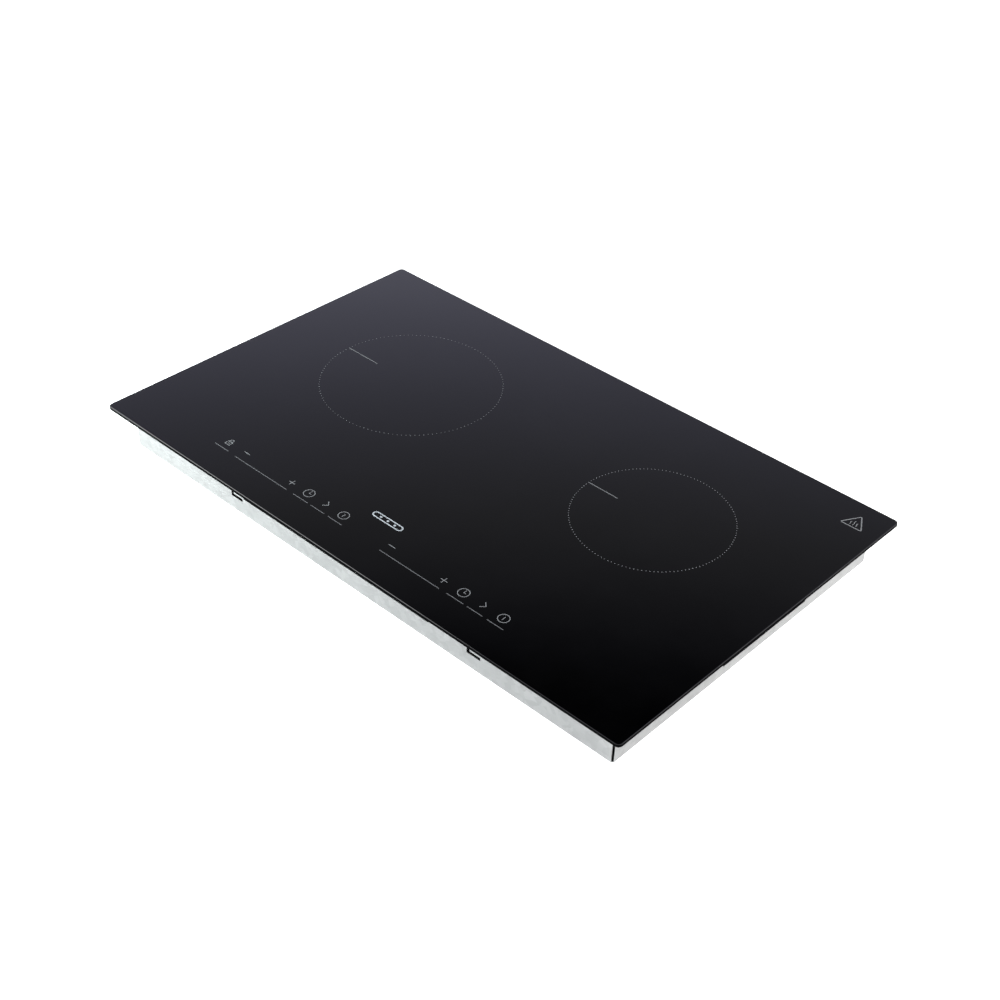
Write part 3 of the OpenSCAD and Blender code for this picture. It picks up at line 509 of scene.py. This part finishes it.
def middle_of(node):
    low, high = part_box(node)
    return (low + high) / 2


def dress_nodes():
    """Every node takes its slot's finish, apart from the windings, chokes and fans, which have their own."""
    fan = fan_plastic()
    own = {"fan_rotor_left": fan, "fan_rotor_right": fan, "fan_frame_left": fan, "fan_frame_right": fan}
    for side in ("left", "right"):
        own["coil_winding_" + side] = litz("litz_" + side, middle_of("coil_winding_" + side))
        own["board_choke_" + side] = litz("choke_wire_" + side, middle_of("board_choke_" + side))
    for part in frame["record"]["subparts"]:
        node = part["node"]
        finish = own.get(node) or FINISHES.get(part["material_slot"], GLASS)
        mesh = NODES[node].data
        mesh.materials.clear()
        mesh.materials.append(finish)


dress_nodes()


# ---------------------------------------------------------------- glass plate

PLATE_LOW, PLATE_HIGH = (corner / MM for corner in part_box("glass_plate"))
HALF_X = (PLATE_HIGH.x - PLATE_LOW.x) / 2
HALF_Y = (PLATE_HIGH.y - PLATE_LOW.y) / 2
PRINT_TOP = PLATE_HIGH.z
ENAMEL_T = 0.03
GLASS_TOP = PRINT_TOP - ENAMEL_T


def glass_plate():
    """The plate's skin: its rounded outline, moved inwards and up along the edge's profile. From below the
    profile has a small ground arris, the upright ground edge, and a polished 45 degree bevel with eased
    edges."""
    bevel, ease, arris, radius = 0.62, 0.07, 0.3, 5.0
    set_back = ease * 0.3
    ground_rows = 2
    profile = [(arris, PLATE_LOW.z), (0, PLATE_LOW.z + arris), (0, GLASS_TOP - bevel - ease),
               (set_back, GLASS_TOP - bevel), (bevel, GLASS_TOP - set_back), (bevel + ease, GLASS_TOP)]
    plan = np.stack([rounded_outline(HALF_X, HALF_Y, radius, inset) for inset, height in profile])
    columns = plan.shape[1]
    heights = np.repeat([[height] for inset, height in profile], columns, axis=1)
    shape = lathe_stack(np.dstack([plan, heights]))
    row = np.arange(len(shape.quads)) // columns
    face_count = len(shape.quads) + len(shape.tris)
    smooth = np.zeros(face_count, bool)
    smooth[:len(row)] = row >= ground_rows
    polished = smooth.copy()
    polished[len(shape.quads) + columns:] = True
    plate = shape.piece("glass_ceramic_plate", "housing", "black_glass", [GLASS, GROUND],
                        smooth, np.where(polished, 0, 1))
    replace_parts(plate, "glass_plate")


glass_plate()


# ---------------------------------------------------------------- rail screws

HEAD_R, HEAD_H, DOME_H, HEAD_EASE = 3.6, 2.4, 1.5, 0.15
SHANK_R, SHANK_L = 2.0, 8.0
THREAD_PITCH, THREAD_SWING, THREAD_END = 0.7, 0.09, 0.3
RECESS_HALF_W, RECESS_HALF_L, RECESS_DEPTH, RECESS_SLOPE = 0.45, 2.1, 1.2, 0.3


def inside(half, offset):
    """1 within half of an axis, 0 beyond, and an even slope between, which is the recess's wall."""
    return np.clip((half - np.abs(offset)) / RECESS_SLOPE + 0.5, 0, 1)


def cross_recess_screw(seat, outward, up):
    """A pan-head screw whose head stands on a wall at seat. Rings climb the shank, whose radius swings as a
    cosine of its height along the thread, run out under the head and up its side, and close in over a dome,
    whose height falls as the root of 1 - (r / R)^2. The dome sinks by a cross of two bars."""
    columns = 64
    turn = np.arange(columns) * 2 * math.pi / columns
    climb = np.linspace(-SHANK_L, -THREAD_END, 56)
    thread = SHANK_R - THREAD_SWING - THREAD_SWING * np.cos(2 * math.pi * climb / THREAD_PITCH)
    inwards = np.linspace(HEAD_R, 0.12, 30)
    dome = HEAD_H - DOME_H + DOME_H * np.sqrt(np.maximum(1 - (inwards / HEAD_R) ** 2, 0))
    neck = [(SHANK_R, 0.0), (HEAD_R - HEAD_EASE, 0.0), (HEAD_R, HEAD_EASE)]
    radius = np.concatenate([thread, [r for r, z in neck], inwards])
    height = np.concatenate([climb, [z for r, z in neck], dome])
    across, along = radius[:, None] * np.cos(turn), radius[:, None] * np.sin(turn)
    upright = inside(RECESS_HALF_W, across) * inside(RECESS_HALF_L, along)
    level = inside(RECESS_HALF_W, along) * inside(RECESS_HALF_L, across)
    on_dome = np.arange(len(radius)) >= len(climb) + len(neck)
    lift = height[:, None] - RECESS_DEPTH * np.maximum(upright, level) * on_dome[:, None]
    outward, up = np.array(outward, float), np.array(up, float)
    sideways = np.cross(up, outward)
    rings = seat + across[..., None] * sideways + along[..., None] * up + lift[..., None] * outward
    return lathe_stack(rings)


def rail_screws():
    """Six screws through the tray's side and rear walls into the rails. Each stands at the middle of the
    solid head that the frame has there, which is what lies past the wall's face."""
    mesh = NODES["rail_screws"].data
    spots = np.empty(len(mesh.vertices) * 3, np.float32)
    mesh.vertices.foreach_get("co", spots)
    spots = spots.reshape(-1, 3) / MM
    low, high = (np.array(corner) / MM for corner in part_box("bottom_tray"))
    shape = None
    for wall, outward in ((0, -1), (0, 1), (1, 1)):
        face = high[wall] if outward > 0 else low[wall]
        beyond = spots[(spots[:, wall] - face) * outward > 0.1]
        for half in (beyond[beyond[:, 1 - wall] < 0], beyond[beyond[:, 1 - wall] > 0]):
            seat = (half.min(0) + half.max(0)) / 2
            seat[wall] = face
            screw = cross_recess_screw(seat, outward * np.eye(3)[wall], (0, 0, 1))
            shape = screw if shape is None else shape + screw
    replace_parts(shape.piece("cross_recess_screws", "housing", "screw_steel", [PLATED], True), "rail_screws")


rail_screws()


# ---------------------------------------------------------------- springs and leads of the coil modules

SLANT = (0.31, 0.17, 0.93)


def tube(path, radius, sides):
    """A closed round tube: a circle carried along a path, square to its run. The circle's axes are the run
    crossed with a slanting direction that no stretch follows, and the run crossed with that."""
    run = np.gradient(path, axis=0)
    run /= np.linalg.norm(run, axis=1, keepdims=True)
    across = np.cross(run, SLANT)
    across /= np.linalg.norm(across, axis=1, keepdims=True)
    turn = np.arange(sides)[:, None] * 2 * math.pi / sides
    rim = np.cos(turn) * across[:, None] + np.sin(turn) * np.cross(run, across)[:, None]
    return lathe_stack(path[:, None] + radius * rim)


def eased(corners, steps=10):
    """A smooth route: a quadratic curve cuts each corner, between the middles of the stretches beside it."""
    corners = np.asarray(corners, float)
    middles = (corners[1:] + corners[:-1]) / 2
    share = np.linspace(0, 1, steps, endpoint=False)[None, :, None]
    before, corner, after = middles[:-1, None], corners[1:-1, None], middles[1:, None]
    curves = (1 - share) ** 2 * before + 2 * share * (1 - share) * corner + share ** 2 * after
    return np.vstack([corners[:1], curves.reshape(-1, 3), middles[-1:], corners[-1:]])


def coil_springs(side):
    """Three compression springs on the guide pins. Each wire turns about its pin while its height rises
    evenly, apart from a short level stretch at both ends, where it lies flat on its seat."""
    wire_r, coil_r, turns, pin_r, level = 0.5, 3.6, 3.0, 2.0, 0.07
    low, high = (np.array(corner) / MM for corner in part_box("coil_springs_" + side))
    seats = [np.array(corner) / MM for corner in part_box("coil_pins_" + side)]
    reach = (seats[1][0] - seats[0][0] - 2 * pin_r) / math.sqrt(3)
    middle = middle_of("coil_disc_" + side) / MM
    share = np.linspace(0, 1, 145)
    angle = share * turns * 2 * math.pi
    climb = np.clip((share - level) / (1 - 2 * level), 0, 1)
    height = low[2] + wire_r + (high[2] - low[2] - 2 * wire_r) * climb
    shape = None
    for pin in np.radians([30, 150, 270]):
        x, y = middle.x + reach * math.cos(pin), middle.y + reach * math.sin(pin)
        path = np.column_stack([x + coil_r * np.cos(angle), y + coil_r * np.sin(angle), height])
        spring = tube(path, wire_r, 12)
        shape = spring if shape is None else shape + spring
    finish = FINISHES["spring_steel"]
    piece = shape.piece("pressure_springs_" + side, "housing", "spring_steel", [finish], True)
    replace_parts(piece, "coil_springs_" + side)
    yield_to_coil(piece)


def coil_leads(side):
    """Two sleeved leads that drop from the coil former through its carrier plate and run forward to the
    board, on a smooth route through six points."""
    lead_r = 1.8
    low, high = (np.array(corner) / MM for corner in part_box("coil_leads_" + side))
    plate_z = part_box("coil_plate_" + side)[0].z / MM
    run_z = low[2] + 8
    rear, front = high[1] - lead_r, low[1] + lead_r
    shape = None
    for x in (low[0] + lead_r, high[0] - lead_r):
        lead = tube(eased([(x, rear, high[2]), (x, rear, plate_z - 4), (x, rear - 11.5, run_z),
                           (x, front + 12, run_z), (x, front, run_z), (x, front, low[2])]), lead_r, 16)
        shape = lead if shape is None else shape + lead
    finish = FINISHES["lead_sleeve"]
    piece = shape.piece("sleeved_leads_" + side, "housing", "lead_sleeve", [finish], True)
    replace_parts(piece, "coil_leads_" + side)
    yield_to_coil(piece)


def yield_to_coil(piece):
    """The piece takes a mesh of its own."""
    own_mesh(piece)


for side in ("left", "right"):
    coil_springs(side)
    coil_leads(side)


# ---------------------------------------------------------------- marks fired on the glass

ENAMEL_ROOT = GLASS_TOP - 0.02


def ribbon(path, width, closed=False):
    """A flat closed bar along a path of plan points, from just in the glass up to the enamel's top. At each
    point the section stands half the width to either side, over the cosine of half the turn there."""
    path = np.asarray(path, float)
    if closed:
        ahead, behind = np.roll(path, -1, 0), np.roll(path, 1, 0)
    else:
        ahead, behind = np.vstack([path[1:], path[-1:]]), np.vstack([path[:1], path[:-1]])
    into, out = path - behind, ahead - path
    into, out = (v / np.maximum(np.linalg.norm(v, axis=1, keepdims=True), 1e-9) for v in (into, out))
    run = into + out
    run /= np.linalg.norm(run, axis=1, keepdims=True)
    stretch = np.where(np.linalg.norm(into, axis=1, keepdims=True) > 0.5, into, out)
    half_turn_cos = np.maximum(np.abs((run * stretch).sum(1)), 0.5)
    side = np.column_stack([-run[:, 1], run[:, 0]]) * (width / 2 / half_turn_cos)[:, None]
    left, right = path + side, path - side
    low, high = np.full(len(path), ENAMEL_ROOT), np.full(len(path), PRINT_TOP)
    section = np.stack([np.column_stack([left, low]), np.column_stack([right, low]),
                        np.column_stack([right, high]), np.column_stack([left, high])], axis=1)
    rows = len(path)
    if closed:
        section = np.vstack([section, section[:1]])
        quads = lattice(rows + 1, 4) % (rows * 4)
        return Shape(section[:-1], quads)
    last = (rows - 1) * 4
    ends = np.array([[3, 2, 1, 0], [last, last + 1, last + 2, last + 3]])
    return Shape(section, np.vstack([lattice(rows, 4), ends]))


def discs(centres, radius, sides=10):
    """Flat closed discs about plan points: each has a ring of points low and one high, with a fan on both."""
    centres = np.atleast_2d(np.asarray(centres, float))
    turn = np.arange(sides) * 2 * math.pi / sides
    rim = centres[:, None, :] + radius * np.stack([np.cos(turn), np.sin(turn)], -1)[None]
    count = len(centres)
    low = np.dstack([rim, np.full((count, sides), ENAMEL_ROOT)])
    high = np.dstack([rim, np.full((count, sides), PRINT_TOP)])
    hubs = np.stack([np.column_stack([centres, np.full(count, ENAMEL_ROOT)]),
                     np.column_stack([centres, np.full(count, PRINT_TOP)])], axis=1)
    points = np.concatenate([low, high, hubs], axis=1).reshape(-1, 3)
    c = np.arange(sides)
    n = (c + 1) % sides
    walls = np.stack([c, n, sides + n, sides + c], -1)
    under = np.stack([np.full(sides, 2 * sides), n, c], -1)
    over = np.stack([np.full(sides, 2 * sides + 1), sides + c, sides + n], -1)
    shift = (np.arange(count) * (2 * sides + 2))[:, None, None]
    return Shape(points, walls[None] + shift, np.vstack([under, over])[None] + shift)


def arc(centre, radius, start, end, steps=28):
    """Points of a circle about a plan point between two angles in degrees."""
    turn = np.radians(np.linspace(start, end, steps))
    return np.column_stack([centre[0] + radius * np.cos(turn), centre[1] + radius * np.sin(turn)])


def circle(centre, radius, steps=36):
    return arc(centre, radius, 0, 360, steps + 1)[:-1]


def bar(x0, y0, x1, y1, width):
    return ribbon([(x0, y0), (x1, y1)], width)


RING_STEP = 9.1
RING_DOTS = 136
DOT_R = 0.47
POINTER_W = 0.9
STROKE = 0.85
FINE = 0.7


def zone(side, reach):
    """A zone's dotted ring, concentric with its coil, and a short pointer line in from its left edge."""
    low, high = (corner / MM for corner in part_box("coil_disc_" + side))
    centre = np.array([(low.x + high.x) / 2, (low.y + high.y) / 2])
    radius = (high.x - low.x) / 2 + RING_STEP
    turn = np.arange(RING_DOTS) * 2 * math.pi / RING_DOTS
    spots = centre + radius * np.column_stack([np.cos(turn), np.sin(turn)])
    # The ring takes its side's enamel copy: painted shade on the left ring, painted light on the right one.
    discs(spots, DOT_R).piece("zone_ring_" + side, "housing", "black_glass", [RINGS_LIT_AND_SHADED[side]])
    start, y = centre[0] - radius - 0.5, centre[1] + 0.3
    line = bar(start, y, start + reach, y, POINTER_W)
    line.piece("zone_pointer_" + side, "housing", "black_glass", [SYMBOL])


zone("left", 46.0)
zone("right", 38.0)


def padlock(x, y):
    """A closed padlock: a square body with a round keyhole, and a half-round shackle on two short legs."""
    half, foot, top = 3.2, y - 4.2, y + 0.9
    body = ribbon([(x - half, foot), (x + half, foot), (x + half, top), (x - half, top)], STROKE, True)
    shackle = np.vstack([[(x + 2.1, y + 1.2)], arc((x, y + 2.6), 2.1, 0, 180, 16), [(x - 2.1, y + 1.2)]])
    return body + ribbon(shackle, STROKE) + discs([(x, y - 1.6)], 0.8, 12)


def minus(x, y):
    return bar(x - 4.4, y, x + 4.4, y, STROKE)


def plus(x, y):
    """Two bars that cross, the upright one in two halves so that no faces overlap."""
    arm, half = 4.1, STROKE / 2
    level = bar(x - arm, y, x + arm, y, STROKE)
    return level + bar(x, y + half, x, y + arm, STROKE) + bar(x, y - arm, x, y - half, STROKE)


def clock(x, y):
    """A clock face: a ring with a long hand up to the rear and a short one to the right."""
    hands = ribbon([(x, y + 4.3), (x, y), (x + 3.0, y)], FINE)
    return ribbon(circle((x, y), 5.8), STROKE, True) + hands


def chevron(x, y):
    return ribbon([(x - 2.1, y + 4.2), (x + 2.3, y), (x - 2.1, y - 4.2)], STROKE)


def power(x, y):
    """A ring with a short upright bar in its middle."""
    return ribbon(circle((x, y), 5.7), STROKE, True) + bar(x, y - 2.7, x, y + 2.7, FINE + 0.1)


GROUP_STEP = 211.6
UNDERLINE_Y = -178.2
SYMBOL_Y = -166.5
LOCK_X, MINUS_X, PLUS_X, CLOCK_X, ARROW_X, POWER_X = -208.0, -181.2, -111.7, -86.7, -61.3, -36.7
LOCK_LINE = (-217.8, -196.9)
SLIDER_LINE = (-185.9, -106.9)
SYMBOL_LINES = ((-97.4, -76.0), (-71.4, -51.9), (-46.5, -26.6))


def touch_row(side, shift, with_lock):
    """One zone's row of touch marks: minus, slider line, plus, clock, arrow and power, the last three with an
    underline each. The row is drawn at the left zone and moved along X by shift."""
    y = SYMBOL_Y
    shape = minus(MINUS_X + shift, y + 0.2) + plus(PLUS_X + shift, y - 0.3) + clock(CLOCK_X + shift, y)
    shape += chevron(ARROW_X + shift, y + 0.4) + power(POWER_X + shift, y)
    if with_lock:
        shape += padlock(LOCK_X, y)
    shape.piece("touch_symbols_" + side, "housing", "black_glass", [SYMBOL])
    y = UNDERLINE_Y
    lines = bar(SLIDER_LINE[0] + shift, y - 0.3, SLIDER_LINE[1] + shift, y - 0.3, STROKE)
    for start, end in SYMBOL_LINES:
        lines += bar(start + shift, y, end + shift, y, STROKE)
    if with_lock:
        lines += bar(LOCK_LINE[0], y + 0.4, LOCK_LINE[1], y + 0.4, STROKE)
    lines.piece("touch_underlines_" + side, "housing", "black_glass", [LINE])


touch_row("left", 0.0, True)
touch_row("right", GROUP_STEP, False)


def emblem():
    """A plain generic emblem between the rows: a pill-shaped outline, two straight runs joined by half
    circles, round three dots."""
    x, y, half, end_r, gap, line_w, dot_r = -0.5, -142.3, 16.0, 3.3, 9.5, 1.35, 1.35
    outline = np.vstack([arc((x + half, y), end_r, -90, 90, 14), arc((x - half, y), end_r, 90, 270, 14)])
    shape = ribbon(outline, line_w, True) + discs([(x - gap, y), (x, y), (x + gap, y)], dot_r, 20)
    shape.piece("emblem", "housing", "black_glass", [PALE])


emblem()


def hot_mark():
    """Generic hot-surface sign near the rear right corner: a triangle with eased corners round three wavy
    strokes. Each stroke swings to either side of an upright line as a sine of its height."""
    corners = np.array([(308.0, 174.1), (331.7, 174.3), (319.6, 194.7)])
    centre = corners.mean(0)
    outline = []
    for point, before, after in zip(corners, np.roll(corners, 1, 0), np.roll(corners, -1, 0)):
        a, b = point + (before - point) * 0.09, point + (after - point) * 0.09
        share = np.linspace(0, 1, 6)[:, None]
        outline.append((1 - share) ** 2 * a + 2 * share * (1 - share) * point + share ** 2 * b)
    shape = ribbon(np.vstack(outline), 1.1, True)
    height = np.linspace(-3.6, 4.6, 15)
    for offset, trim in ((-3.4, 0.62), (0.0, 1.0), (3.4, 0.62)):
        rise = height * trim + (0.0 if trim == 1.0 else -0.9)
        sway = 0.55 * np.sin(np.linspace(0, 2 * math.pi, len(height)))
        shape += ribbon(np.column_stack([centre[0] + offset + sway, centre[1] - 0.8 + rise]), 0.75)
    shape.piece("hot_surface_mark", "housing", "black_glass", [SYMBOL])


hot_mark()


# ---------------------------------------------------------------- floor, light and world

def stage_floor():
    """A plain white floor that shines a little, so that it stays evenly pale."""
    mesh = bpy.data.meshes.new("floor")
    reach = 30.0
    z = CAD_BOX[0].z - 0.0003
    corners = [(-reach, -reach, z), (reach, -reach, z), (reach, reach, z), (-reach, reach, z)]
    mesh.from_pydata(corners, [], [(0, 1, 2, 3)])
    f = Finish("floor", Roughness=0.9, Specular_IOR_Level=0.0, Emission_Strength=1.0)
    f.shader.inputs["Emission Color"].default_value = (0.68, 0.68, 0.68, 1)
    f.shader.inputs["Base Color"].default_value = (0.8, 0.8, 0.8, 1)
    mesh.materials.append(f.material)
    floor = bpy.data.objects.new("floor", mesh)
    bpy.context.scene.collection.objects.link(floor)


def softbox(name, place, target, size, power, glossy, colour=(1, 1, 1)):
    """A rectangular lamp at place that faces target. glossy says whether polished faces mirror it."""
    data = bpy.data.lights.new(name, "AREA")
    data.shape = "RECTANGLE"
    data.size, data.size_y = size
    data.energy = power
    data.color = colour
    lamp = bpy.data.objects.new(name, data)
    aim = (Vector(target) - Vector(place)).to_track_quat("-Z", "Y")
    lamp.matrix_world = Matrix.Translation(place) @ aim.to_matrix().to_4x4()
    lamp.visible_camera = False
    lamp.visible_glossy = glossy
    bpy.context.scene.collection.objects.link(lamp)


# The sky's levels of grey and of blue at heights above the horizon in degrees
SKY = ((0, 1.3, 1.3), (18, 1.45, 1.5), (23, 1.25, 1.4), (26.5, 1.05, 1.27), (29.5, 0.75, 0.96),
       (31.5, 0.565, 0.73), (33.5, 0.415, 0.525), (35.5, 0.305, 0.365), (37.5, 0.218, 0.24),
       (39.5, 0.138, 0.155), (41.5, 0.058, 0.068), (43.5, 0.006, 0.006), (46, 0.0, 0.0), (90, 0.0, 0.0))


def studio():
    """White to the eye; for the light that falls on the cooktop, a pale band near the horizon that fades to
    black overhead, which is what a black mirror shows from above."""
    world = bpy.data.worlds.new("studio")
    bpy.context.scene.world = world
    sky = Nodes(world, "ShaderNodeOutputWorld")
    strength = 2.0
    stops = [(math.sin(math.radians(angle)), (level / strength, level / strength, blue / strength, 1))
             for angle, level, blue in SKY]
    place = sky.add("ShaderNodeTexCoord", out="Generated")
    height = sky.add("ShaderNodeSeparateXYZ", sockets={0: place}, out="Z")
    colour = sky.add("ShaderNodeValToRGB", {"stops": stops}, {0: height})
    band = sky.add("ShaderNodeBackground", sockets={"Color": colour, "Strength": strength})
    white = sky.add("ShaderNodeBackground", sockets={"Color": (1, 1, 1, 1)})
    seen = sky.add("ShaderNodeLightPath", out="Is Camera Ray")
    sky.show(sky.add("ShaderNodeMixShader", sockets={0: seen, 1: band, 2: white}).socket)


stage_floor()
studio()
softbox("front_strip", (-1.2, -1.15, 0.76), (-0.2, -0.2, 0.05), (1.25, 0.7), 15.0, True)
softbox("left_wash", (-0.75, -0.75, 0.3), (-0.3, -0.25, 0.0), (0.5, 0.4), 22.0, False, (0.88, 1.0, 0.97))
softbox("right_wash", (1.05, 0.45, 0.5), (0.4, 0.0, 0.0), (0.5, 0.4), 14.0, False, (1.0, 0.985, 0.94))
softbox("overhead", (0.0, 0.1, 2.2), (0.0, 0.0, 0.0), (1.4, 1.4), 6.0, False)
bpy.context.scene.view_settings.view_transform = "Standard"
